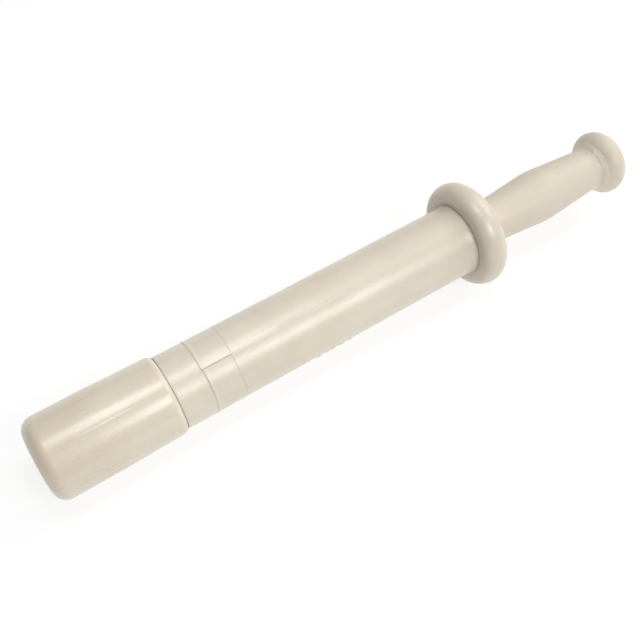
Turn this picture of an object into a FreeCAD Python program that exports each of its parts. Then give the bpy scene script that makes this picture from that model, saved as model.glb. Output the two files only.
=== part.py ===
import FreeCAD, Part
import math
import os
import Sketcher

# A hand pusher for a feed tube, lying along X with its working foot at -X and its knob at +X.
# The object's axis is parallel to X, and the rim of the guard touches Z = 0 at its lowest point.
# Every piece but the knob is turned about that axis from a half-section, which has distance from
# the face of the foot across and radius up. The knob is a flattened ball with a round spigot.

DRIVING_SIZES = {
    # whole object
    "overall_length": 370.0,
    "body_radius": 20.1,
    "tube_bore_radius": 17.3,
    "edge_round": 0.4,
    # working foot, a closed cup that pulls off forwards
    "foot_length": 71.0,
    "foot_radius": 22.35,
    "foot_mouth_radius": 21.5,
    "foot_land_end": 32.0,
    "foot_tip_round": 7.4,
    "foot_mouth_round": 3.8,
    "foot_floor": 8.0,
    "foot_clearance": 0.05,
    "foot_gap": 0.8,
    # nose plug that carries the foot
    "spigot_radius": 17.0,
    "spigot_length": 35.8,
    "spigot_round": 1.5,
    "collar_length": 15.4,
    "plug_bore_radius": 13.5,
    "plug_floor": 4.0,
    "plug_depth": 30.0,
    # spacer ring, split so that it can spring open
    "ring_length": 17.1,
    "ring_split_angle": 1.0,
    "seam_angle": 21.4,
    # shaft tube
    "tube_length": 147.4,
    # rear plug and its stem
    "rear_plug_depth": 25.0,
    "rear_plug_web": 5.0,
    "stem_radius": 9.0,
    "stem_bore_radius": 5.5,
    "stem_length": 46.0,
    # guard flange
    "guard_radius": 30.75,
    "guard_section_radius": 8.9,
    "guard_offset": 6.9,
    "guard_hub_radius": 14.5,
    "guard_hub_length": 16.7,
    "guard_dish_radius": 2.2,
    "guard_dish_offset": 0.1,
    "guard_back_place": 14.2,
    "guard_lip_round": 0.4,
    # hand grip
    "grip_front_radius": 12.06,
    "grip_swell_radius": 15.75,
    "grip_back_radius": 12.36,
    "grip_swell_place": 41.6,
    "grip_length": 81.6,
    "grip_swell_round": 50.0,
    # end knob
    "knob_radius": 18.85,
    "knob_half_length": 11.3,
    "knob_spigot_length": 26.0,
}


class Size:
    """A length or an angle: its value, and the sheet expression that gives it."""

    def __init__(self, value, text):
        self.value = float(value)
        self.text = text

    def __add__(self, other):
        other = as_size(other)
        return Size(self.value + other.value, f"({self.text} + {other.text})")

    def __sub__(self, other):
        other = as_size(other)
        return Size(self.value - other.value, f"({self.text} - {other.text})")

    def __truediv__(self, other):
        other = as_size(other)
        return Size(self.value / other.value, f"({self.text} / {other.text})")

    def __neg__(self):
        return Size(-self.value, f"(-{self.text})")


def as_size(number):
    if isinstance(number, Size):
        return number
    return Size(number, str(number))


def make_sheet(document):
    """Writes the driving sizes into the sheet and returns them by name."""
    sheet = document.addObject("Spreadsheet::Sheet", "Sizes")
    for row, (name, value) in enumerate(DRIVING_SIZES.items(), start=1):
        sheet.set(f"A{row}", name)
        sheet.set(f"B{row}", str(value))
        sheet.setAlias(f"B{row}", name)
    document.recompute()
    return {name: Size(value, f"Sizes.{name}") for name, value in DRIVING_SIZES.items()}


def origin_feature(body, role):
    return next(item for item in body.Origin.OriginFeatures if item.Role == role)


def half_section(body, name):
    """An empty sketch on the body's XZ plane, where its own X runs along the object's axis."""
    sketch = body.newObject("Sketcher::SketchObject", name)
    sketch.AttachmentSupport = [(origin_feature(body, "XZ_Plane"), "")]
    sketch.MapMode = "FlatFace"
    return sketch


def bind_distance(sketch, kind, geometry, point, distance):
    """Holds a point at a distance from the sketch's origin, or on its axis where that is zero."""
    if distance.value == 0:
        axis = -2 if kind == "DistanceX" else -1
        sketch.addConstraint(Sketcher.Constraint("PointOnObject", geometry, point, axis))
        return
    number = sketch.addConstraint(
        Sketcher.Constraint(kind, -1, 1, geometry, point, distance.value)
    )
    sketch.setExpression(f"Constraints[{number}]", distance.text)


def vector(along, radius):
    return FreeCAD.Vector(as_size(along).value, as_size(radius).value, 0)


def draw_outline(sketch, corners):
    """A closed outline of straight lines through corners given as (distance along, radius)."""
    corners = [(as_size(along), as_size(radius)) for along, radius in corners]
    points = [vector(along, radius) for along, radius in corners]
    lines = [
        sketch.addGeometry(Part.LineSegment(start, end))
        for start, end in zip(points, points[1:] + points[:1])
    ]
    for line, following in zip(lines, lines[1:] + lines[:1]):
        sketch.addConstraint(Sketcher.Constraint("Coincident", line, 2, following, 1))
    for line, (along, radius) in zip(lines, corners):
        bind_distance(sketch, "DistanceX", line, 1, along)
        bind_distance(sketch, "DistanceY", line, 1, radius)


def draw_open_outline(sketch, corners, start, end):
    """Straight lines through corners, from the first point of one arc to that of another."""
    (start_point, start_arc), (end_point, end_arc) = start, end
    points = [start_point, *(vector(*corner) for corner in corners), end_point]
    lines = [
        sketch.addGeometry(Part.LineSegment(here, there))
        for here, there in zip(points, points[1:])
    ]
    for line, following in zip(lines, lines[1:]):
        sketch.addConstraint(Sketcher.Constraint("Coincident", line, 2, following, 1))
    sketch.addConstraint(Sketcher.Constraint("Coincident", start_arc, 1, lines[0], 1))
    sketch.addConstraint(Sketcher.Constraint("Coincident", lines[-1], 2, end_arc, 1))
    for line, (along, radius) in zip(lines[1:], corners):
        bind_distance(sketch, "DistanceX", line, 1, along)
        bind_distance(sketch, "DistanceY", line, 1, radius)


def draw_arc(sketch, along, height, radius, start, end):
    """An arc drawn anticlockwise between two points, about a bound centre."""
    centre = vector(along, height)
    circle = Part.Circle(centre, FreeCAD.Vector(0, 0, 1), radius.value)
    arc = sketch.addGeometry(Part.ArcOfCircle(circle, circle.parameter(start), circle.parameter(end)))
    bind_distance(sketch, "DistanceX", arc, 3, along)
    bind_distance(sketch, "DistanceY", arc, 3, height)
    number = sketch.addConstraint(Sketcher.Constraint("Radius", arc, radius.value))
    sketch.setExpression(f"Constraints[{number}]", radius.text)
    return arc


def circles_meet(centre, radius, other_centre, other_radius):
    """The upper of the two points where two circles cross."""
    between = other_centre - centre
    apart = between.Length
    along = (apart**2 + radius**2 - other_radius**2) / (2 * apart)
    aside = math.sqrt(radius**2 - along**2)
    direction = between / apart
    foot_point = centre + direction * along
    sideways = FreeCAD.Vector(-direction.y, direction.x, 0) * aside
    return max(foot_point + sideways, foot_point - sideways, key=lambda point: point.y)


def turn(body, name, sketch, angle=None):
    """Turns a half-section about the body's X axis."""
    feature = body.newObject("PartDesign::Revolution", name)
    feature.Profile = sketch
    feature.ReferenceAxis = (origin_feature(body, "X_Axis"), [""])
    feature.Angle = 360.0
    if angle is not None:
        feature.Midplane = True
        feature.setExpression("Angle", angle.text)
    sketch.Visibility = False
    body.Document.recompute()
    return feature


def round_edges(body, name, places, radius):
    """Rounds the circular edges that lie at (distance along, radius) places."""
    base = body.Tip
    wanted = [(as_size(along).value, as_size(height).value) for along, height in places]
    found = []
    for index, edge in enumerate(base.Shape.Edges, start=1):
        if not isinstance(edge.Curve, Part.Circle):
            continue
        across = edge.Curve
        here = (across.Center.x, across.Radius)
        if abs(abs(across.Axis.x) - 1) > 1e-6:
            continue
        if any(abs(here[0] - x) < 0.05 and abs(here[1] - r) < 0.05 for x, r in wanted):
            found.append(f"Edge{index}")
    if len(found) < len(wanted):
        raise RuntimeError(f"{name}: {len(found)} edges found for {len(wanted)} places")
    feature = body.newObject("PartDesign::Fillet", name)
    feature.Base = (base, found)
    feature.Radius = radius.value
    feature.setExpression("Radius", radius.text)
    body.Document.recompute()
    return feature


def place(item, sizes, turned_by=None):
    """Puts a piece drawn from the foot's face into the object's frame."""
    item.setExpression("Placement.Base.x", (-(sizes["overall_length"] / 2)).text)
    item.setExpression("Placement.Base.z", sizes["guard_radius"].text)
    if turned_by is not None:
        item.Placement.Rotation = FreeCAD.Rotation(FreeCAD.Vector(1, 0, 0), turned_by.value)
        item.setExpression("Placement.Rotation.Angle", turned_by.text)


def turned_body(document, label, corners, angle=None):
    """A body turned from one closed outline."""
    body = document.addObject("PartDesign::Body", label)
    body.Label = label
    sketch = half_section(body, f"{label}_section")
    draw_outline(sketch, corners)
    turn(body, f"{label}_turned", sketch, angle)
    return body


def stations(sizes):
    """Distances from the face of the foot to where each piece begins."""
    collar = sizes["foot_length"] + sizes["foot_gap"]
    ring = collar + sizes["collar_length"]
    tube = ring + sizes["ring_length"]
    guard = tube + sizes["tube_length"]
    grip = guard + sizes["guard_hub_length"]
    knob = grip + sizes["grip_length"]
    return {"collar": collar, "ring": ring, "tube": tube, "guard": guard, "grip": grip, "knob": knob}


def make_foot_cap(document, sizes):
    """The working foot: flat face, rounded tip, straight land, slight taper and rounded mouth."""
    bore = sizes["spigot_radius"] + sizes["foot_clearance"]
    mouth = sizes["foot_length"]
    corners = [
        (0, 0),
        (0, sizes["foot_radius"]),
        (sizes["foot_land_end"], sizes["foot_radius"]),
        (mouth, sizes["foot_mouth_radius"]),
        (mouth, bore),
        (sizes["foot_floor"], bore),
        (sizes["foot_floor"], 0),
    ]
    body = turned_body(document, "foot_cap", corners)
    round_edges(body, "foot_tip_rounding", [(0, sizes["foot_radius"])], sizes["foot_tip_round"])
    mouth_edge = [(mouth, sizes["foot_mouth_radius"])]
    round_edges(body, "foot_mouth_rounding", mouth_edge, sizes["foot_mouth_round"])
    place(body, sizes)
    return body


def make_nose_plug(document, sizes, at):
    """The collar behind the foot, its hollow spigot in front and its shank in the shaft tube."""
    front = at["collar"] - sizes["spigot_length"]
    back = at["tube"] + sizes["plug_depth"]
    inner = front + sizes["plug_floor"]
    corners = [
        (front, 0),
        (front, sizes["spigot_radius"]),
        (at["collar"], sizes["spigot_radius"]),
        (at["collar"], sizes["body_radius"]),
        (at["ring"], sizes["body_radius"]),
        (at["ring"], sizes["tube_bore_radius"]),
        (back, sizes["tube_bore_radius"]),
        (back, sizes["plug_bore_radius"]),
        (inner, sizes["plug_bore_radius"]),
        (inner, 0),
    ]
    body = turned_body(document, "nose_plug", corners)
    lead_in = [(front, sizes["spigot_radius"])]
    round_edges(body, "spigot_lead_in", lead_in, sizes["spigot_round"])
    collar_edges = [(at["collar"], sizes["body_radius"]), (at["ring"], sizes["body_radius"])]
    round_edges(body, "collar_rounding", collar_edges, sizes["edge_round"])
    place(body, sizes)
    return body


def make_sleeve(document, sizes, label, start, end, angle=None):
    """A straight length of tube wall with softened outer edges."""
    corners = [
        (start, sizes["tube_bore_radius"]),
        (start, sizes["body_radius"]),
        (end, sizes["body_radius"]),
        (end, sizes["tube_bore_radius"]),
    ]
    body = turned_body(document, label, corners, angle)
    outer_edges = [(start, sizes["body_radius"]), (end, sizes["body_radius"])]
    round_edges(body, f"{label}_rounding", outer_edges, sizes["edge_round"])
    return body


def make_spacer_ring(document, sizes, at):
    """The split ring between the collar and the tube, with its split on the seam line."""
    swept = as_size(360) - sizes["ring_split_angle"]
    body = make_sleeve(document, sizes, "spacer_ring", at["ring"], at["tube"], swept)
    # The sweep leaves its gap opposite the drawn section, so half a turn brings it to the seam.
    place(body, sizes, sizes["seam_angle"] + 180)
    return body


def make_shaft_tube(document, sizes, at):
    body = make_sleeve(document, sizes, "shaft_tube", at["tube"], at["guard"])
    place(body, sizes)
    return body


def make_rear_plug(document, sizes, at):
    """The coupling in the tube's rear end, whose hollow stem carries the guard and the grip."""
    front = at["guard"] - sizes["rear_plug_depth"]
    web = at["guard"] - sizes["rear_plug_web"]
    stem_end = at["guard"] + sizes["stem_length"]
    corners = [
        (front, sizes["plug_bore_radius"]),
        (front, sizes["tube_bore_radius"]),
        (at["guard"], sizes["tube_bore_radius"]),
        (at["guard"], sizes["stem_radius"]),
        (stem_end, sizes["stem_radius"]),
        (stem_end, sizes["stem_bore_radius"]),
        (web, sizes["stem_bore_radius"]),
        (web, sizes["plug_bore_radius"]),
    ]
    body = turned_body(document, "rear_plug", corners)
    place(body, sizes)
    return body


def make_guard_flange(document, sizes, at):
    """The hand guard: a thick round rim, dished on the side of the foot, on a short hub."""
    dish_along = at["guard"] + sizes["guard_dish_offset"]
    dish_height = sizes["body_radius"] + sizes["guard_dish_radius"]
    rim_along = at["guard"] + sizes["guard_offset"]
    rim_height = sizes["guard_radius"] - sizes["guard_section_radius"]
    back_along = at["guard"] + sizes["guard_back_place"]
    dish_bottom = vector(dish_along, sizes["body_radius"])
    lip = circles_meet(
        vector(dish_along, dish_height),
        sizes["guard_dish_radius"].value,
        vector(rim_along, rim_height),
        sizes["guard_section_radius"].value,
    )
    drop = math.sqrt(
        sizes["guard_section_radius"].value ** 2 - (back_along.value - rim_along.value) ** 2
    )
    rim_back = FreeCAD.Vector(back_along.value, rim_height.value - drop, 0)

    body = document.addObject("PartDesign::Body", "guard_flange")
    body.Label = "guard_flange"
    sketch = half_section(body, "guard_flange_section")
    dish = draw_arc(sketch, dish_along, dish_height, sizes["guard_dish_radius"], dish_bottom, lip)
    rim = draw_arc(sketch, rim_along, rim_height, sizes["guard_section_radius"], rim_back, lip)
    sketch.addConstraint(Sketcher.Constraint("Coincident", dish, 2, rim, 2))
    bind_distance(sketch, "DistanceX", dish, 1, dish_along)
    bind_distance(sketch, "DistanceX", rim, 1, back_along)
    corners = [
        (at["grip"], sizes["guard_hub_radius"]),
        (at["grip"], sizes["stem_radius"]),
        (at["guard"], sizes["stem_radius"]),
        (at["guard"], sizes["body_radius"]),
    ]
    draw_open_outline(sketch, corners, (rim_back, rim), (dish_bottom, dish))
    turn(body, "guard_flange_turned", sketch)
    round_edges(body, "guard_lip_rounding", [(lip.x, lip.y)], sizes["guard_lip_round"])
    place(body, sizes)
    return body


def make_handle_grip(document, sizes, at):
    """The hollow barrel grip, widest a little past its middle."""
    swell = at["grip"] + sizes["grip_swell_place"]
    corners = [
        (at["grip"], sizes["stem_radius"]),
        (at["grip"], sizes["grip_front_radius"]),
        (swell, sizes["grip_swell_radius"]),
        (at["knob"], sizes["grip_back_radius"]),
        (at["knob"], sizes["stem_radius"]),
    ]
    body = turned_body(document, "handle_grip", corners)
    swell_edge = [(swell, sizes["grip_swell_radius"])]
    round_edges(body, "grip_swell_rounding", swell_edge, sizes["grip_swell_round"])
    place(body, sizes)
    return body


def along_axis(item, distance):
    """Lays a primitive's own Z axis along the object, starting at a distance from the foot."""
    item.Placement.Rotation = FreeCAD.Rotation(FreeCAD.Vector(0, 1, 0), 90)
    item.setExpression("Placement.Base.x", distance.text)


def make_end_knob(document, sizes, at):
    """The flattened ball with a flat seat on the grip and a spigot in the grip's bore."""
    ball = document.addObject("Part::Ellipsoid", "knob_ball")
    ball.setExpression("Radius1", sizes["knob_half_length"].text)
    ball.setExpression("Radius2", sizes["knob_radius"].text)
    ball.setExpression("Radius3", sizes["knob_radius"].text)
    along_axis(ball, sizes["overall_length"] - sizes["knob_half_length"])

    seat = document.addObject("Part::Cylinder", "knob_seat_cutter")
    seat.setExpression("Radius", sizes["knob_radius"].text)
    seat.setExpression("Height", sizes["knob_half_length"].text)
    along_axis(seat, at["knob"] - sizes["knob_half_length"])

    seated = document.addObject("Part::Cut", "knob_seated")
    seated.Base = ball
    seated.Tool = seat

    spigot = document.addObject("Part::Cylinder", "knob_spigot")
    spigot.setExpression("Radius", sizes["stem_radius"].text)
    spigot.setExpression("Height", (sizes["knob_spigot_length"] + 1).text)
    along_axis(spigot, at["knob"] - sizes["knob_spigot_length"])

    knob = document.addObject("Part::Fuse", "end_knob")
    knob.Label = "end_knob"
    knob.Base = seated
    knob.Tool = spigot
    place(knob, sizes)
    return knob


def check_document(document, pieces):
    """Stops if any feature failed, or if a piece is empty, invalid or more than one solid."""
    for item in document.Objects:
        if "Invalid" in item.State or "Error" in item.State:
            raise RuntimeError(f"{item.Name} failed: {item.State}")
    for piece in pieces:
        shape = piece.Shape
        if shape.isNull() or not shape.isValid() or len(shape.Solids) != 1:
            raise RuntimeError(f"{piece.Label} is not one sound solid")


def main():
    document = FreeCAD.newDocument("feed_tube_pusher")
    sizes = make_sheet(document)
    at = stations(sizes)
    pieces = [
        make_foot_cap(document, sizes),
        make_nose_plug(document, sizes, at),
        make_spacer_ring(document, sizes, at),
        make_shaft_tube(document, sizes, at),
        make_rear_plug(document, sizes, at),
        make_guard_flange(document, sizes, at),
        make_handle_grip(document, sizes, at),
        make_end_knob(document, sizes, at),
    ]
    document.recompute()
    check_document(document, pieces)
    os.makedirs("parts", exist_ok=True)
    for piece in pieces:
        box = piece.Shape.BoundBox
        piece.Shape.exportStep(f"parts/{piece.Label}.step")
        print(
            f"{piece.Label}: X {box.XMin:.2f} to {box.XMax:.2f}, "
            f"Z {box.ZMin:.2f} to {box.ZMax:.2f}, volume {piece.Shape.Volume / 1000:.1f} cm3"
        )


main()
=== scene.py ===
import math

import bmesh
import bpy
import numpy as np
from mathutils import Matrix, Vector, noise


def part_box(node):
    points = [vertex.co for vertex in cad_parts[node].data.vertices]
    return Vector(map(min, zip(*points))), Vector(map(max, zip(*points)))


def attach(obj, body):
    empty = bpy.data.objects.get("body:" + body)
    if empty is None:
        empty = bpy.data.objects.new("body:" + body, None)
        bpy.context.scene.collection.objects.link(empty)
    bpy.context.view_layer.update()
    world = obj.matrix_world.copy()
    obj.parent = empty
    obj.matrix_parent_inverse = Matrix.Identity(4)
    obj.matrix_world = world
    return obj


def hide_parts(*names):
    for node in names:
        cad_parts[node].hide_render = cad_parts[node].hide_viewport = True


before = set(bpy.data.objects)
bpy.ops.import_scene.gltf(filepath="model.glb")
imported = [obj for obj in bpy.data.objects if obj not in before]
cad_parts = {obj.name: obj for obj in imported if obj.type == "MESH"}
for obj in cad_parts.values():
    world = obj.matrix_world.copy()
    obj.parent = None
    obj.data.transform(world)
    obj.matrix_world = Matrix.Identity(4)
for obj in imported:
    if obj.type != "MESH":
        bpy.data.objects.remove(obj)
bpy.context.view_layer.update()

# A hand pusher for a feed tube, moulded in cream polyethylene. Its shape is given in millimetres:
# "along" is the distance from the foot's face along the axis and "radius" the distance out from it.
# A "turn" is an angle about the axis in degrees, from straight up towards -Y, the camera's side.

MM = 0.001
FOOT_LOW, FOOT_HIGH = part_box("foot_cap")
FACE_X = FOOT_LOW.x
AXIS_Z = (FOOT_LOW.z + FOOT_HIGH.z) / 2


def reach(node):
    """Where a CAD node starts and ends along the axis, and its largest radius."""
    low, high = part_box(node)
    return (low.x - FACE_X) / MM, (high.x - FACE_X) / MM, (high.z - low.z) / 2 / MM


_, FOOT_END, FOOT_RADIUS = reach("foot_cap")
SPIGOT_START, SHANK_END, BODY_RADIUS = reach("nose_plug")
RING_START, RING_END, _ = reach("spacer_ring")
TUBE_START, TUBE_END, _ = reach("shaft_tube")
GRIP_START, GRIP_END, SWELL_RADIUS = reach("handle_grip")
KNOB_SPIGOT_TIP, OBJECT_END, _ = reach("end_knob")
GUARD_RADIUS = reach("guard_flange")[2]

# Sizes that the CAD boxes don't show, with the CAD's own values.
BORE_RADIUS = 17.3
PLUG_BORE_RADIUS = 13.5
PLUG_FLOOR = 4.0
SPIGOT_RADIUS = 17.0
SPIGOT_ROUND = 1.5
FOOT_BORE_RADIUS = 17.05
FOOT_LAND_END = 32.0
FOOT_MOUTH_RADIUS = 21.5
FOOT_MOUTH_ROUND = 3.8
FOOT_FLOOR = 8.0
FOOT_GAP = 0.8
TIP_ROUND = 7.4
STEM_RADIUS = 9.0
RIM_SECTION = 8.9
RIM_OFFSET = 6.9
RIM_BACK = 14.2
HUB_RADIUS = 14.5
GRIP_FRONT_RADIUS = 12.06
SWELL_PLACE = 41.6
SWELL_ROUND = 50.0
BALL_RADIUS = 18.85
NECK_RADIUS = 12.36

# Sizes that only the visual has: the gate mark in the foot's face, the collar's front edge and lip, the
# guard's open dish, the flatter ball, the flare at its neck, and worn or rounded edges.
GATE_DEPTH = 0.3
GATE_FLOOR_RADIUS = 2.2
GATE_RADIUS = 2.8
GATE_ROUND = 0.2
FOOT_LAND_ROUND = 60.0
FOOT_CHAMFER = 0.5
FOOT_FLOOR_ROUND = 1.5
LIP_GAP = 0.15
LIP_HEIGHT = 0.9
LIP_ROUND = 0.2
COLLAR_FOOT_LEAD = 0.1
COLLAR_EDGE_LEAD = 0.3
COLLAR_EDGE_DROP = 0.1
COLLAR_EDGE_ROUND = 0.05
COLLAR_ROUND = 0.3
LINE_ROUND = 0.13
SHANK_ROUND = 0.5
DISH_RADIUS = 25.4
DISH_DEPTH = 0.05
DISH_WEAR = 2.2
BACK_WEAR = 2.5
WEAR_ROUNDS = 30
HUB_EDGE_RADIUS = HUB_RADIUS - 0.4
HUB_EDGE_LENGTH = 0.2
GRIP_FRONT_ROUND = 0.5
NECK_FLARE = 1.2
NECK_LENGTH = 5.0
KNOB_SPIGOT_RADIUS = STEM_RADIUS - 0.02
KNOB_SPIGOT_ROUND = 1.0
BALL_HALF_LENGTH = 10.8
BALL_POINTS = 110
BALL_HIDDEN = 12

# Where an outline goes from its fine outside to its coarse inside, and where relief sets in above it.
SUNK_RADIUS = BODY_RADIUS - 1
SKIN_RADIUS = BODY_RADIUS - 0.9
FOOT_SKIN_RADIUS = FOOT_BORE_RADIUS + 0.6
GRIP_SUNK_RADIUS = 10.5
GRIP_SKIN_RADIUS = 10.6
KNOB_SKIN_RADIUS = 11.0
SKIN_FADE = 0.8

# The moulding seam and what lies along it.
SEAM_TURN = 21.4
SEAM_STRONG_END = TUBE_START + 26
SEAM_FAINT_START = TUBE_START + 43
SEAM_FAINT_END = TUBE_START + 66
LEDGE_PLACE = -0.25
LEDGE_SLOPE = 1.8
LEDGE_FALL = 0.40
SEAM_LINE_PLACE = 0.42
SEAM_LINE_WIDTH = 0.22
SPLIT_HALF = 0.22
MARKS_TURN = 112.0
MARKS_START = 148.0
MARK_HEIGHT = 0.5
MARK_FADE = 0.45
FOOT_SEAM_DEPTH = 0.11
FOOT_LEDGE = 0.03
RING_LEDGE = 0.20
TUBE_LEDGE = 0.15
TUBE_FAINT_LEDGE = 0.05
TUBE_SEAM_DEPTH = 0.05

# Unevenness, as wavelengths along X, Y and Z, and its height; and the small steps at the ends of pieces.
BROAD_WAVES = (34, 19, 19)
BROAD_HEIGHT = 0.08
STREAK_WAVES = (90, 4.5, 4.5)
STREAK_HEIGHT = 0.010
GUARD_WAVES = (16, 16, 16)
GUARD_HEIGHT = 0.06
GUARD_GRAIN_WAVES = (5, 5, 5)
GUARD_GRAIN_HEIGHT = 0.01
GUARD_SUNK = 0.05
PUCKER_WAVES = (2.4, 2.0, 2.0)
PUCKER_HEIGHT = 0.34
KNOB_WAVES = (12, 12, 12)
KNOB_HEIGHT = 0.07
GRIP_SMOOTHNESS = 0.8
BEAD_PLACE = RING_START + 0.9
BEAD_WIDTH = 0.8
BEAD_HEIGHT = 0.20
SHOULDER_PLACE = GRIP_START + 1.4
SHOULDER_WIDTH = 1.0
SHOULDER_DEPTH = 0.25
TUBE_FLARE = 0.6
TUBE_FLARE_LENGTH = 8.0

# Steps along an outline, in millimetres, and round it, in degrees.
CURVE_STEP = 0.35
FINE = 0.45
SPIGOT_STEP = 1.0
INNER_STEP = 3.0
COARSE = 6.0
TURN_STEP = 2.0
SEAM_BAND = 7.0
SEAM_STEP = 0.35
MARKS_BAND = 9.5
MARKS_STEP = 0.6
LEAST_TURN_STEP = 0.12
SHARP_ANGLE = 50


# ---------------------------------------------------------------- outlines


def arc(centre, section, start, end):
    """Points on a circle in the outline's plane, from one angle to another, in degrees."""
    count = max(6, math.ceil(abs(math.radians(end - start)) * section / CURVE_STEP))
    angles = np.radians(np.linspace(start, end, count + 1))
    return [np.array(centre) + section * np.array([math.cos(a), math.sin(a)]) for a in angles]


def unit(direction):
    return direction / np.linalg.norm(direction)


def path(corners, step):
    """Points through (along, radius, rounding) corners, with the straight runs cut into steps."""
    places = [np.array(corner[:2], float) for corner in corners]
    bent = [places[0]]
    for before, here, after, (_, _, rounding) in zip(places, places[1:], places[2:], corners[1:]):
        if rounding == 0:
            bent.append(here)
            continue
        back, on = unit(before - here), unit(after - here)
        half = math.acos(np.clip(back @ on, -1, 1)) / 2
        centre = here + unit(back + on) * rounding / math.sin(half)
        first = here + back * rounding / math.tan(half) - centre
        last = here + on * rounding / math.tan(half) - centre
        count = max(6, math.ceil((math.pi - 2 * half) * rounding / CURVE_STEP))
        for share in np.linspace(0, 1, count + 1):
            between = unit(unit(first) * math.sin((1 - share) * (math.pi - 2 * half))
                           + unit(last) * math.sin(share * (math.pi - 2 * half)))
            bent.append(centre + between * rounding)
    bent.append(places[-1])
    return filled(bent, step)


def filled(points, step):
    """The same line with no two points further apart than a step."""
    dense = [points[0]]
    for start, end in zip(points, points[1:]):
        count = max(1, math.ceil(np.linalg.norm(end - start) / step))
        dense += [start + (end - start) * share for share in np.linspace(0, 1, count + 1)[1:]]
    return dense


def softened(points, place, distance, rounds):
    """The line with its corner at a place worn round."""
    points = np.array(points)
    near = np.linalg.norm(points - place, axis=1) < distance
    near[[0, -1]] = False
    for _ in range(rounds):
        middle = (np.roll(points, 1, axis=0) + np.roll(points, -1, axis=0)) / 2
        points[near] = middle[near]
    return list(points)


# ---------------------------------------------------------------- surface relief, in millimetres


def hump(value, place, width):
    """1 at the place, falling off to 0 on both sides."""
    return np.exp(-(((value - place) / width) ** 2))


def rise(value, start, end):
    """0 before start, 1 after end, smooth between them."""
    share = np.clip((value - start) / (end - start), 0, 1)
    return share * share * (3 - 2 * share)


def window(value, start, end, fade):
    """1 between start and end, 0 outside them, with a smooth change at each."""
    return rise(value, start - fade, start + fade) * (1 - rise(value, end - fade, end + fade))


def waves(points, wavelengths, height, shift=0.0):
    """Smooth random unevenness; wavelengths are along X, Y and Z."""
    scale = 1 / np.array(wavelengths)
    offset = Vector((shift, shift * 0.7, -shift))
    found = [noise.noise(Vector(point * scale) + offset) for point in points.reshape(-1, 3)]
    return height * np.array(found).reshape(points.shape[:-1])


def moulded(points):
    """The faint unevenness of a thick moulding: broad hollows and long drawn streaks."""
    broad = waves(points, BROAD_WAVES, BROAD_HEIGHT)
    streaks = waves(points, STREAK_WAVES, STREAK_HEIGHT, shift=11.0)
    return broad + streaks


def off_seam(turn):
    """Degrees round from the seam, -180 to 180, positive towards the camera's side."""
    return (turn - SEAM_TURN + 180) % 360 - 180


def across_seam(turn):
    """The distance from the seam round the body, with the same sign."""
    return np.radians(off_seam(turn)) * BODY_RADIUS


def seam_ledge(turn, height, depth):
    """A rounded ledge above the seam and a fine line along it."""
    across = across_seam(turn)
    slope = hump(across, LEDGE_PLACE, LEDGE_SLOPE)
    fall = hump(across, LEDGE_PLACE, LEDGE_FALL)
    line = depth * hump(across, SEAM_LINE_PLACE, SEAM_LINE_WIDTH)
    return height * np.where(across < 0, slope, fall) - line


def seam_share(along):
    """How much of the seam's ledge is left along the body, 0 to 1."""
    strong = window(along, RING_START, SEAM_STRONG_END, 3)
    faint = window(along, SEAM_FAINT_START, SEAM_FAINT_END, 6)
    return np.maximum(strong, 0.35 * faint)


def seam_highlight_share(along, turn):
    """A painted highlight on the ledge above the seam, where it faces the light."""
    across = across_seam(turn)
    return window(across, -2.3, -0.2, 0.35) * seam_share(along)


def seam_line(turn, depth):
    return -depth * hump(across_seam(turn), 0.0, SEAM_LINE_WIDTH)


def line_jog(along, turn):
    """The joint lines step a little along the axis on the camera's side of the seam."""
    across = across_seam(turn)
    beyond = rise(across, -0.3, 0.3) * (1 - rise(across, 20, 55))
    at_lines = 0.35 * hump(along, RING_START, 5.0) - 0.45 * hump(along, RING_END, 5.0)
    return at_lines * beyond


def foot_relief(along, turn, points):
    line = seam_line(turn, FOOT_SEAM_DEPTH) * window(along, 24, 49, 5)
    ledge = seam_ledge(turn, FOOT_LEDGE, 0.0) * window(along, 20, 60, 8)
    return moulded(points) + line + ledge


def collar_relief(along, turn, points):
    return moulded(points)


def ring_relief(along, turn, points):
    bead = BEAD_HEIGHT * hump(along, BEAD_PLACE, BEAD_WIDTH)
    return moulded(points) + bead + seam_ledge(turn, RING_LEDGE, 0.0)


def tube_relief(along, turn, points):
    strong = window(along, TUBE_START - 5, SEAM_STRONG_END, 5)
    faint = window(along, SEAM_FAINT_START, SEAM_FAINT_END, 6)
    strong_ledge = seam_ledge(turn, TUBE_LEDGE, TUBE_SEAM_DEPTH) * strong
    faint_ledge = seam_ledge(turn, TUBE_FAINT_LEDGE, TUBE_SEAM_DEPTH) * faint
    seam = strong_ledge + faint_ledge
    near_end = (along - TUBE_END + TUBE_FLARE_LENGTH) / TUBE_FLARE_LENGTH
    flare = TUBE_FLARE * np.clip(near_end, 0, 1) ** 2
    return moulded(points) + seam + flare + raised_marks(along, turn)


# Plain raised bars, each (place in the row, half its length, half its height).
MARKS = [(0.0, 1.3, 2.0), (5.4, 0.7, 2.4), (9.0, 0.7, 2.4), (14.2, 1.5, 1.5), (19.6, 0.8, 2.4)]


def raised_marks(along, turn):
    """The bars stand in a row along the tube, well away from the seam."""
    across = np.radians(turn - MARKS_TURN) * BODY_RADIUS
    relief = np.zeros_like(along)
    for place, half_length, half_height in MARKS:
        middle = MARKS_START + place
        lengthways = window(along, middle - half_length, middle + half_length, MARK_FADE)
        crossways = window(across, -half_height, half_height, MARK_FADE)
        relief = np.maximum(relief, lengthways * crossways)
    return MARK_HEIGHT * relief


def guard_relief(along, turn, points):
    """Sunk a little, so that its highest waves stay inside the CAD's box."""
    broad = waves(points, GUARD_WAVES, GUARD_HEIGHT)
    grain = waves(points, GUARD_GRAIN_WAVES, GUARD_GRAIN_HEIGHT, shift=4.0)
    return broad + grain - GUARD_SUNK


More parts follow.
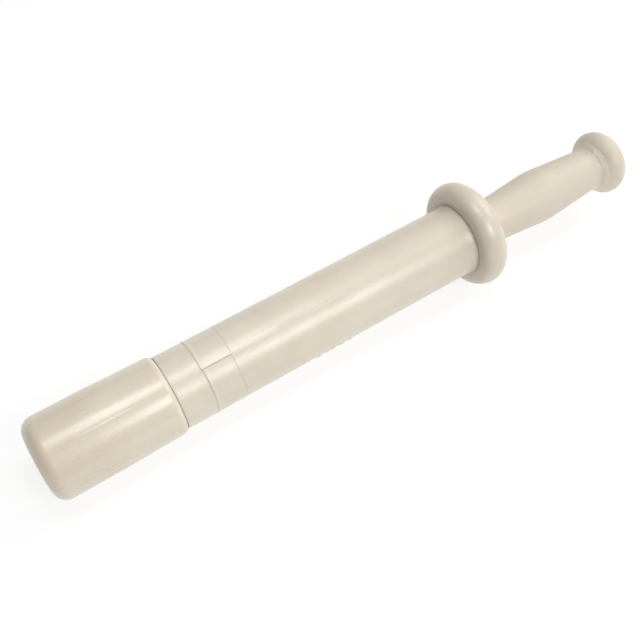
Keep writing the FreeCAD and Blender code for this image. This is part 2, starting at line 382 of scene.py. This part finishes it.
def neck(along):
    """How far the grip's end curves out to run into the knob."""
    return NECK_FLARE * np.clip((along - GRIP_END) / NECK_LENGTH + 1, 0, 2) ** 2


def wrinkles(points):
    """The puckered skin on either side of the line between grip and knob."""
    return waves(points, PUCKER_WAVES, PUCKER_HEIGHT, shift=7.0)


def grip_relief(along, turn, points):
    puckers = wrinkles(points) * rise(along, GRIP_END - 5.5, GRIP_END - 1)
    shoulder = -SHOULDER_DEPTH * hump(along, SHOULDER_PLACE, SHOULDER_WIDTH)
    return GRIP_SMOOTHNESS * moulded(points) + neck(along) + puckers + shoulder


def knob_relief(along, turn, points):
    ball = np.hypot(points[..., 1], points[..., 2])
    flare = np.maximum(NECK_RADIUS + neck(along) - ball, 0)
    flare *= 1 - rise(along, GRIP_END + 4, GRIP_END + 7)
    puckers = wrinkles(points) * (1 - rise(along, GRIP_END + 1, GRIP_END + 6))
    return waves(points, KNOB_WAVES, KNOB_HEIGHT, shift=2.0) + flare + puckers


# ---------------------------------------------------------------- meshes


def columns(gap):
    """Turns at which the outline is repeated: closer at the seam and where marks stand."""
    even = np.arange(0, 360, TURN_STEP)
    seam = SEAM_TURN + np.arange(-SEAM_BAND, SEAM_BAND, SEAM_STEP)
    marks = MARKS_TURN + np.arange(-MARKS_BAND, MARKS_BAND, MARKS_STEP)
    turns = np.unique(np.round(np.concatenate([even, seam, marks]) % 360, 2))
    turns = turns[np.append(True, np.diff(turns) > LEAST_TURN_STEP)]
    if gap:
        turns = turns[np.abs(off_seam(turns)) > gap + 0.1]
        after = turns[turns > SEAM_TURN]
        before = turns[turns < SEAM_TURN] + 360
        turns = np.concatenate([[SEAM_TURN + gap], after, before, [SEAM_TURN - gap + 360]])
    return turns


def place_points(along, radius, turn):
    """Positions in metres, in the CAD's frame."""
    angle = np.radians(turn)
    x = FACE_X + along * MM
    y = -radius * np.sin(angle) * MM
    z = AXIS_Z + radius * np.cos(angle) * MM
    return np.stack([x, y, z], axis=-1)


def line_shade_and_dirt(along, turn, depths):
    """How much painted shade, with some dirt, sits in the lines, along the seam and in the guard's dish, 0
    to 1.
    """
    found = np.zeros_like(along)
    for place, width, amount in depths:
        found = np.maximum(found, amount * hump(along, place, width))
    # Painted shadow along the fine line below the seam's ledge.
    in_seam = 0.20 * hump(across_seam(turn), 0.35, 0.25) * seam_share(along)
    return np.maximum(found, in_seam)


def turned(name, outline, closed, outer, relief, lines, gap=0.0):
    """A piece turned from its outline, with relief where the outline is further out than outer."""
    outline = np.array(outline)
    turns = columns(gap)
    turn, along = np.meshgrid(turns, outline[:, 0], indexing="ij")
    radius = np.broadcast_to(outline[:, 1], along.shape).copy()
    skin = rise(radius, outer, outer + SKIN_FADE)
    smooth = (place_points(along, radius, turn) - np.array([FACE_X, 0, AXIS_Z])) / MM
    radius += relief(along, turn, smooth) * skin
    # Painted shade, with some dirt, in the lines between pieces, along the seam and in the guard's dish.
    shade_and_dirt = line_shade_and_dirt(along, turn, lines) * skin
    # Painted highlight: the ledge above the seam is coloured paler.
    painted_highlight = seam_highlight_share(along, turn) * skin
    along = along + line_jog(along, turn) * skin
    points = place_points(along, radius, turn)

    count, size = along.shape
    numbers = np.arange(count * size).reshape(count, size)
    if not gap:
        numbers = np.vstack([numbers, numbers[:1]])
    if closed:
        numbers = np.hstack([numbers, numbers[:, :1]])
    here, after = numbers[:-1], numbers[1:]
    quads = np.stack([here[:, :-1], here[:, 1:], after[:, 1:], after[:, :-1]], axis=-1)
    faces = [tuple(face) for face in quads.reshape(-1, 4).tolist()]
    if gap:
        faces += [tuple(range(size)), tuple(range((count - 1) * size, count * size))]

    mesh = bpy.data.meshes.new(name)
    mesh.from_pydata(points.reshape(-1, 3).tolist(), [], faces)
    for kind, amount in (("line_shade_and_dirt", shade_and_dirt), ("seam_highlight", painted_highlight)):
        worn = mesh.attributes.new(kind, "FLOAT", "POINT")
        worn.data.foreach_set("value", amount.ravel().astype(np.float32))
    shell = bmesh.new()
    shell.from_mesh(mesh)
    bmesh.ops.remove_doubles(shell, verts=shell.verts, dist=1e-7)
    bmesh.ops.recalc_face_normals(shell, faces=shell.faces)
    shell.to_mesh(mesh)
    shell.free()
    mesh.shade_smooth()
    mesh.set_sharp_from_angle(angle=math.radians(SHARP_ANGLE))
    piece = bpy.data.objects.new(name, mesh)
    bpy.context.scene.collection.objects.link(piece)
    return piece


# ---------------------------------------------------------------- material


def plastic(name, tone, roughness):
    """Cream polyethylene: cloudy colour, long drawn streaks, hairline scratches, painted shade with some
    dirt in the lines, a painted highlight on the seam's ledge, and painted shade towards the handle's end.
    """
    material = bpy.data.materials.new(name)
    material.use_nodes = True
    tree = material.node_tree
    tree.nodes.clear()

    def feed(socket, value):
        """Link a socket to another node's output, or set its value."""
        if isinstance(value, bpy.types.NodeSocket):
            tree.links.new(value, socket)
        else:
            socket.default_value = value

    def node(kind, settings=None, **inputs):
        made = tree.nodes.new(kind)
        for key, value in (settings or {}).items():
            setattr(made, key, value)
        for key, value in inputs.items():
            feed(made.inputs[key.replace("_", " ")], value)
        return made

    def cloud(scale, detail, stretch=(1, 1, 1), tilt=0.0):
        """Noise of so many waves to the metre, stretched and turned."""
        mapped = node("ShaderNodeMapping", Vector=place)
        mapped.inputs["Scale"].default_value = stretch
        mapped.inputs["Rotation"].default_value = (0, tilt, tilt)
        made = node("ShaderNodeTexNoise", Vector=mapped.outputs[0], Scale=scale, Detail=detail)
        return made.outputs["Fac"]

    def span(value, low, high, to_low=0.0, to_high=1.0):
        made = node("ShaderNodeMapRange", Value=value)
        made.inputs["From Min"].default_value = low
        made.inputs["From Max"].default_value = high
        made.inputs["To Min"].default_value = to_low
        made.inputs["To Max"].default_value = to_high
        return made.outputs["Result"]

    def maths(operation, first, second):
        made = node("ShaderNodeMath", {"operation": operation})
        for socket, value in zip(made.inputs, (first, second)):
            feed(socket, value)
        return made.outputs[0]

    def mixed(share, first, second):
        made = node("ShaderNodeMix", {"data_type": "RGBA"})
        for socket, value in ((made.inputs[0], share), (made.inputs[6], first), (made.inputs[7], second)):
            feed(socket, value)
        return made.outputs[2]

    def shade(light, warmth=1.0):
        return (tone[0] * light, tone[1] * light / warmth**0.5, tone[2] * light / warmth, 1)

    place = node("ShaderNodeTexCoord").outputs["Object"]
    clouds = cloud(32, 4)
    flecks = cloud(620, 3)
    streaks = cloud(16, 3, stretch=(1, 16, 16))
    peel = cloud(900, 2)
    hairs = cloud(22, 1, stretch=(1, 30, 30), tilt=0.12)
    hair_patches = cloud(24, 1)
    shade_and_dirt = node("ShaderNodeAttribute", {"attribute_name": "line_shade_and_dirt"}).outputs["Fac"]
    painted_highlight = node("ShaderNodeAttribute", {"attribute_name": "seam_highlight"}).outputs["Fac"]
    lengthways = node("ShaderNodeSeparateXYZ", Vector=place).outputs["X"]
    handled = span(lengthways, GRIP_X - 0.004, GRIP_X + 0.02)
    # Painted shade: the colour darkens over the last 110 mm before the grip and beyond it, where less
    # light falls.
    handle_end_shade_share = span(lengthways, GRIP_X - 0.11, GRIP_X)

    off_hair = maths("ABSOLUTE", maths("SUBTRACT", hairs, 0.5), 0)
    hairline = span(off_hair, 0.0, 0.012, 1.0, 0.0)
    scratches = maths("MULTIPLY", hairline, span(hair_patches, 0.45, 0.65))
    colour = mixed(span(clouds, 0.35, 0.68), shade(1.02, 0.99), shade(0.955, 1.035))
    colour = mixed(span(flecks, 0.60, 0.75, 0, 0.35), colour, shade(0.88, 1.05))
    colour = mixed(maths("MULTIPLY", scratches, 0.10), colour, shade(0.82, 1.04))
    # Painted highlight along the seam's ledge.
    colour = mixed(maths("MULTIPLY", painted_highlight, 0.40), colour, shade(1.15, 0.94))
    # Painted shade towards the handle's end, a little cloudy.
    painted_handle_end_shade = maths("MULTIPLY", handle_end_shade_share, span(clouds, 0.3, 0.7, 0.7, 1.0))
    colour = mixed(painted_handle_end_shade, colour, shade(0.90, 1.02))
    # Painted shade, with some dirt: the lines between pieces, the seam and the guard's dish darken towards
    # a dark brown.
    patchy_shade_and_dirt = maths("MULTIPLY", shade_and_dirt, span(flecks, 0.25, 0.6, 0.7, 1.0))
    colour = mixed(patchy_shade_and_dirt, colour, SHADE_AND_DIRT_TONE)

    rough = maths("ADD", span(streaks, 0.3, 0.7, roughness - 0.02, roughness + 0.02),
                  span(clouds, 0.3, 0.7, -0.03, 0.04))
    rough = maths("ADD", rough, maths("MULTIPLY", scratches, 0.06))
    rough = maths("ADD", rough, maths("MULTIPLY", handled, 0.20))
    rough = maths("ADD", rough, maths("MULTIPLY", shade_and_dirt, 0.25))

    height = maths("ADD", maths("MULTIPLY", peel, 0.35), maths("MULTIPLY", streaks, 0.22))
    height = maths("SUBTRACT", height, maths("MULTIPLY", scratches, 0.04))
    bump = node("ShaderNodeBump", Height=height, Strength=0.5, Distance=0.00006)

    surface = node("ShaderNodeBsdfPrincipled", Base_Color=colour, Roughness=rough,
                   Normal=bump.outputs[0])
    surface.inputs["IOR"].default_value = 1.54
    surface.inputs["Specular IOR Level"].default_value = 0.75
    surface.inputs["Subsurface Weight"].default_value = 0.3
    surface.inputs["Subsurface Radius"].default_value = (1.0, 0.7, 0.45)
    surface.inputs["Subsurface Scale"].default_value = 0.003
    output = node("ShaderNodeOutputMaterial")
    tree.links.new(surface.outputs[0], output.inputs["Surface"])
    return material


GRIP_X = FACE_X + GRIP_START * MM
BODY_CREAM = (0.74, 0.67, 0.55)
FOOT_CREAM = (0.735, 0.66, 0.535)
INNER_CREAM = (0.76, 0.68, 0.54)
SHADE_AND_DIRT_TONE = (0.30, 0.25, 0.17, 1)
body_plastic = plastic("body_plastic", BODY_CREAM, 0.33)
foot_plastic = plastic("foot_plastic", FOOT_CREAM, 0.26)
inner_plastic = plastic("inner_plastic", INNER_CREAM, 0.50)


def finish_piece(piece, node, body, material):
    piece.data.materials.append(material)
    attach(piece, body)
    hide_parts(node)


# ---------------------------------------------------------------- pieces


def foot_outline():
    """A cup with a small sunk gate mark in the middle of its face."""
    mouth = FOOT_BORE_RADIUS + FOOT_CHAMFER
    outside = [
        (GATE_DEPTH, 0, 0),
        (GATE_DEPTH, GATE_FLOOR_RADIUS, GATE_ROUND),
        (0, GATE_RADIUS, GATE_ROUND),
        (0, FOOT_RADIUS, TIP_ROUND),
        (FOOT_LAND_END, FOOT_RADIUS, FOOT_LAND_ROUND),
        (FOOT_END, FOOT_MOUTH_RADIUS, FOOT_MOUTH_ROUND),
        (FOOT_END, mouth, 0),
    ]
    inside = [
        (FOOT_END, mouth, 0),
        (FOOT_END - FOOT_CHAMFER, FOOT_BORE_RADIUS, 0),
        (FOOT_FLOOR, FOOT_BORE_RADIUS, FOOT_FLOOR_ROUND),
        (FOOT_FLOOR, 0, 0),
    ]
    return path(outside, FINE) + path(inside, COARSE)[1:]


def nose_outline():
    """The spigot in the foot, the collar behind it and the hollow shank in the tube."""
    lip = FOOT_END + LIP_GAP
    collar_foot = FOOT_END - COLLAR_FOOT_LEAD
    plug_floor = SPIGOT_START + PLUG_FLOOR
    spigot = [
        (SPIGOT_START, 0, 0),
        (SPIGOT_START, SPIGOT_RADIUS, SPIGOT_ROUND),
        (lip, SPIGOT_RADIUS, LIP_ROUND),
        (lip, SPIGOT_RADIUS + LIP_HEIGHT, 0),
        (collar_foot, SUNK_RADIUS, 0),
    ]
    collar = [
        (collar_foot, SUNK_RADIUS, 0),
        (FOOT_END - COLLAR_EDGE_LEAD, BODY_RADIUS - COLLAR_EDGE_DROP, COLLAR_EDGE_ROUND),
        (FOOT_END + FOOT_GAP, BODY_RADIUS, COLLAR_ROUND),
        (RING_START, BODY_RADIUS, LINE_ROUND),
        (RING_START, SUNK_RADIUS, 0),
    ]
    shank = [
        (RING_START, SUNK_RADIUS, 0),
        (RING_START, BORE_RADIUS, 0),
        (SHANK_END, BORE_RADIUS, SHANK_ROUND),
        (SHANK_END, PLUG_BORE_RADIUS, 0),
        (plug_floor, PLUG_BORE_RADIUS, 0),
        (plug_floor, 0, 0),
    ]
    return path(spigot, SPIGOT_STEP) + path(collar, FINE)[1:] + path(shank, COARSE)[1:]


def sleeve_outline(start, end):
    """A plain length of the body, with sharp joint lines at both ends."""
    outside = [
        (start, SUNK_RADIUS, 0),
        (start, BODY_RADIUS, LINE_ROUND),
        (end, BODY_RADIUS, LINE_ROUND),
        (end, SUNK_RADIUS, 0),
    ]
    inside = [
        (end, SUNK_RADIUS, 0),
        (end, BORE_RADIUS, 0),
        (start, BORE_RADIUS, 0),
        (start, SUNK_RADIUS, 0),
    ]
    return path(outside, FINE) + path(inside, COARSE)[1:-1]


def guard_outline():
    """An open dish behind the tube's end, the thick rolled rim, and a short hub."""
    rim_centre = np.array([TUBE_END + RIM_OFFSET, GUARD_RADIUS - RIM_SECTION])
    lip_angle = 180 - math.degrees(math.asin((DISH_RADIUS - rim_centre[1]) / RIM_SECTION))
    back_angle = math.degrees(math.acos((RIM_BACK - RIM_OFFSET) / RIM_SECTION))
    rim = arc(rim_centre, RIM_SECTION, lip_angle, -back_angle)
    dish_floor = np.array([TUBE_END + DISH_DEPTH, BODY_RADIUS])
    hub_edge = np.array([GRIP_START - HUB_EDGE_LENGTH, HUB_RADIUS])
    hub_end = np.array([GRIP_START, HUB_EDGE_RADIUS])
    front = filled([dish_floor, rim[0]], FINE)
    rear = filled([rim[-1], hub_edge, hub_end], FINE)
    outside = filled(front + rim[1:] + rear[1:], FINE)
    outside = softened(outside, rim[0], DISH_WEAR, WEAR_ROUNDS)
    outside = softened(outside, rim[-1], BACK_WEAR, WEAR_ROUNDS)
    inside = [
        (GRIP_START, HUB_EDGE_RADIUS, 0),
        (GRIP_START, STEM_RADIUS, 0),
        (TUBE_END, STEM_RADIUS, 0),
        (TUBE_END, BODY_RADIUS, 0),
        (TUBE_END + DISH_DEPTH, BODY_RADIUS, 0),
    ]
    return outside + path(inside, INNER_STEP)[1:-1]


def grip_outline():
    """A sleeve that swells towards the middle and narrows to the knob's neck."""
    outside = [
        (GRIP_START, GRIP_SUNK_RADIUS, 0),
        (GRIP_START, GRIP_FRONT_RADIUS, GRIP_FRONT_ROUND),
        (GRIP_START + SWELL_PLACE, SWELL_RADIUS, SWELL_ROUND),
        (GRIP_END, NECK_RADIUS, 0),
        (GRIP_END, GRIP_SUNK_RADIUS, 0),
    ]
    inside = [
        (GRIP_END, GRIP_SUNK_RADIUS, 0),
        (GRIP_END, STEM_RADIUS, 0),
        (GRIP_START, STEM_RADIUS, 0),
        (GRIP_START, GRIP_SUNK_RADIUS, 0),
    ]
    return path(outside, FINE) + path(inside, COARSE)[1:-1]


def knob_outline():
    """A spigot, then a flattened ball without its first points, which lie under the neck's flare."""
    centre = OBJECT_END - BALL_HALF_LENGTH
    seat = math.acos((centre - GRIP_END) / BALL_HALF_LENGTH)
    angles = np.linspace(math.pi - seat, 0, BALL_POINTS)
    along = centre + BALL_HALF_LENGTH * np.cos(angles)
    radius = BALL_RADIUS * np.sin(angles)
    radius[-1] = 0
    ball = list(np.stack([along, radius], axis=-1))
    neck_edge = np.array([GRIP_END, NECK_RADIUS])
    spigot = [
        (KNOB_SPIGOT_TIP, 0, 0),
        (KNOB_SPIGOT_TIP, KNOB_SPIGOT_RADIUS, KNOB_SPIGOT_ROUND),
        (GRIP_END, KNOB_SPIGOT_RADIUS, 0),
        (GRIP_END, NECK_RADIUS, 0),
    ]
    return path(spigot, INNER_STEP) + filled([neck_edge] + ball[BALL_HIDDEN:], FINE)[1:]


# Painted shade, with some dirt, in the lines between pieces; painted shade in the guard's dish; each
# (place, width, amount).
GROOVE = FOOT_END + FOOT_GAP / 2
LINES = [(GROOVE, 0.6, 0.02), (RING_START, 0.3, 0.07), (RING_END, 0.3, 0.03)]
# Painted shade: a wide dark band in the guard's dish behind the tube's end, where the flank faces away
# from the light.
GUARD_DISH_SHADE = [(TUBE_END - 0.8, 2.2, 0.24)]
GRIP_LINES = [(GRIP_START, 0.5, 0.12), (GRIP_END, 0.7, 0.12)]

ring_outline = sleeve_outline(RING_START, RING_END)
tube_outline = sleeve_outline(TUBE_START, TUBE_END)
foot_shell = turned("foot_shell", foot_outline(), False, FOOT_SKIN_RADIUS, foot_relief, LINES)
pusher_shells = [
    ("nose_plug", turned("nose_shell", nose_outline(), False, SKIN_RADIUS, collar_relief, LINES)),
    ("spacer_ring", turned("ring_shell", ring_outline, True, SKIN_RADIUS, ring_relief, LINES, SPLIT_HALF)),
    ("shaft_tube", turned("tube_shell", tube_outline, True, SKIN_RADIUS, tube_relief, LINES)),
    ("guard_flange",
     turned("guard_shell", guard_outline(), True, HUB_EDGE_RADIUS, guard_relief, GUARD_DISH_SHADE)),
    ("handle_grip", turned("grip_shell", grip_outline(), True, GRIP_SKIN_RADIUS, grip_relief, GRIP_LINES)),
    ("end_knob", turned("knob_shell", knob_outline(), False, KNOB_SKIN_RADIUS, knob_relief, GRIP_LINES)),
]
finish_piece(foot_shell, "foot_cap", "foot", foot_plastic)
for node, shell in pusher_shells:
    finish_piece(shell, node, "pusher", body_plastic)

rear_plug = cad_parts["rear_plug"]
rear_plug.data.materials.clear()
rear_plug.data.materials.append(inner_plastic)

# ---------------------------------------------------------------- floor, light and camera

# The pusher rests on the guard's rim and on the edge of its foot, so the floor rises towards the foot.
RIM_X = FACE_X + (TUBE_END + RIM_OFFSET) * MM
TIP_X = FACE_X + TIP_ROUND * MM
FLOOR_TILT = math.asin(FOOT_LOW.z / (RIM_X - TIP_X))
FLOOR_NORMAL = Vector((math.sin(FLOOR_TILT), 0, math.cos(FLOOR_TILT)))
FLOOR_DROP = 0.25
FLOOR_POINT = Vector((RIM_X, 0, RIM_SECTION * MM)) - FLOOR_NORMAL * (RIM_SECTION + FLOOR_DROP) * MM
FLOOR_HALF = 8.0
FLOOR_GREY = 0.26
FLOOR_GLOW = 0.77
WORLD_LEVEL = 0.28
WORLD_SLOPE = (0.24, 0.0, 0.14)
WHITE = (1, 1, 1, 1)

# The lights, each (name, place, target, length, width, watts).
MIDDLE = (0.0, 0, 0.03)
LIGHTS = [
    ("overhead", (-0.03, 0.08, 0.95), (-0.03, 0, 0.03), 0.46, 0.28, 2.4),
    ("front", (0.15, -0.62, 0.70), MIDDLE, 0.42, 0.32, 2.9),
    ("handle_side", (1.6, 0.25, 1.30), MIDDLE, 1.3, 1.3, 12.0),
]

CAMERA_PLACE = (-0.1584, -0.2080, 0.4104)
CAMERA_DIRECTION = (0.2914, 0.4527, -0.8427)
CAMERA_LENS = 47.8
CAMERA_SENSOR = 36


def make_floor():
    mesh = bpy.data.meshes.new("floor")
    grid = bmesh.new()
    bmesh.ops.create_grid(grid, x_segments=8, y_segments=8, size=FLOOR_HALF)
    grid.to_mesh(mesh)
    grid.free()
    floor = bpy.data.objects.new("floor", mesh)
    floor.location = FLOOR_POINT
    floor.rotation_euler = (0, FLOOR_TILT, 0)
    bpy.context.scene.collection.objects.link(floor)
    material = bpy.data.materials.new("pale_floor")
    material.use_nodes = True
    surface = material.node_tree.nodes["Principled BSDF"]
    surface.inputs["Base Color"].default_value = (FLOOR_GREY, FLOOR_GREY, FLOOR_GREY, 1)
    surface.inputs["Roughness"].default_value = 0.9
    surface.inputs["Specular IOR Level"].default_value = 0.1
    surface.inputs["Emission Color"].default_value = WHITE
    surface.inputs["Emission Strength"].default_value = FLOOR_GLOW
    mesh.materials.append(material)


def soft_light(name, location, target, length, width, power):
    """A rectangular light that faces the target, its long side in line with the object."""
    data = bpy.data.lights.new(name, "AREA")
    data.shape = "RECTANGLE"
    data.size = length
    data.size_y = width
    data.energy = power
    light = bpy.data.objects.new(name, data)
    facing = (Vector(location) - Vector(target)).normalized()
    level = (Vector((1, 0, 0)) - facing * facing.x).normalized()
    turn = Matrix((level, facing.cross(level), facing)).transposed().to_4x4()
    light.matrix_world = Matrix.Translation(location) @ turn
    light.visible_camera = False
    bpy.context.scene.collection.objects.link(light)


def make_world():
    """White light that is a little stronger from the handle's end and from above."""
    world = bpy.data.worlds.new("studio")
    world.use_nodes = True
    tree = world.node_tree
    place = tree.nodes.new("ShaderNodeTexCoord")
    towards = tree.nodes.new("ShaderNodeVectorMath")
    towards.operation = "DOT_PRODUCT"
    towards.inputs[1].default_value = WORLD_SLOPE
    level = tree.nodes.new("ShaderNodeMath")
    level.inputs[1].default_value = WORLD_LEVEL
    tree.links.new(place.outputs["Generated"], towards.inputs[0])
    tree.links.new(towards.outputs["Value"], level.inputs[0])
    tree.links.new(level.outputs[0], tree.nodes["Background"].inputs["Strength"])
    tree.nodes["Background"].inputs["Color"].default_value = WHITE
    bpy.context.scene.world = world


def make_camera():
    data = bpy.data.cameras.new("camera")
    data.sensor_width = CAMERA_SENSOR
    data.lens = CAMERA_LENS
    data.clip_start = 0.01
    camera = bpy.data.objects.new("camera", data)
    camera.location = CAMERA_PLACE
    camera.rotation_euler = Vector(CAMERA_DIRECTION).to_track_quat("-Z", "Y").to_euler()
    bpy.context.scene.collection.objects.link(camera)
    bpy.context.scene.camera = camera


make_floor()
make_world()
for light in LIGHTS:
    soft_light(*light)
make_camera()
bpy.context.scene.view_settings.view_transform = "Standard"
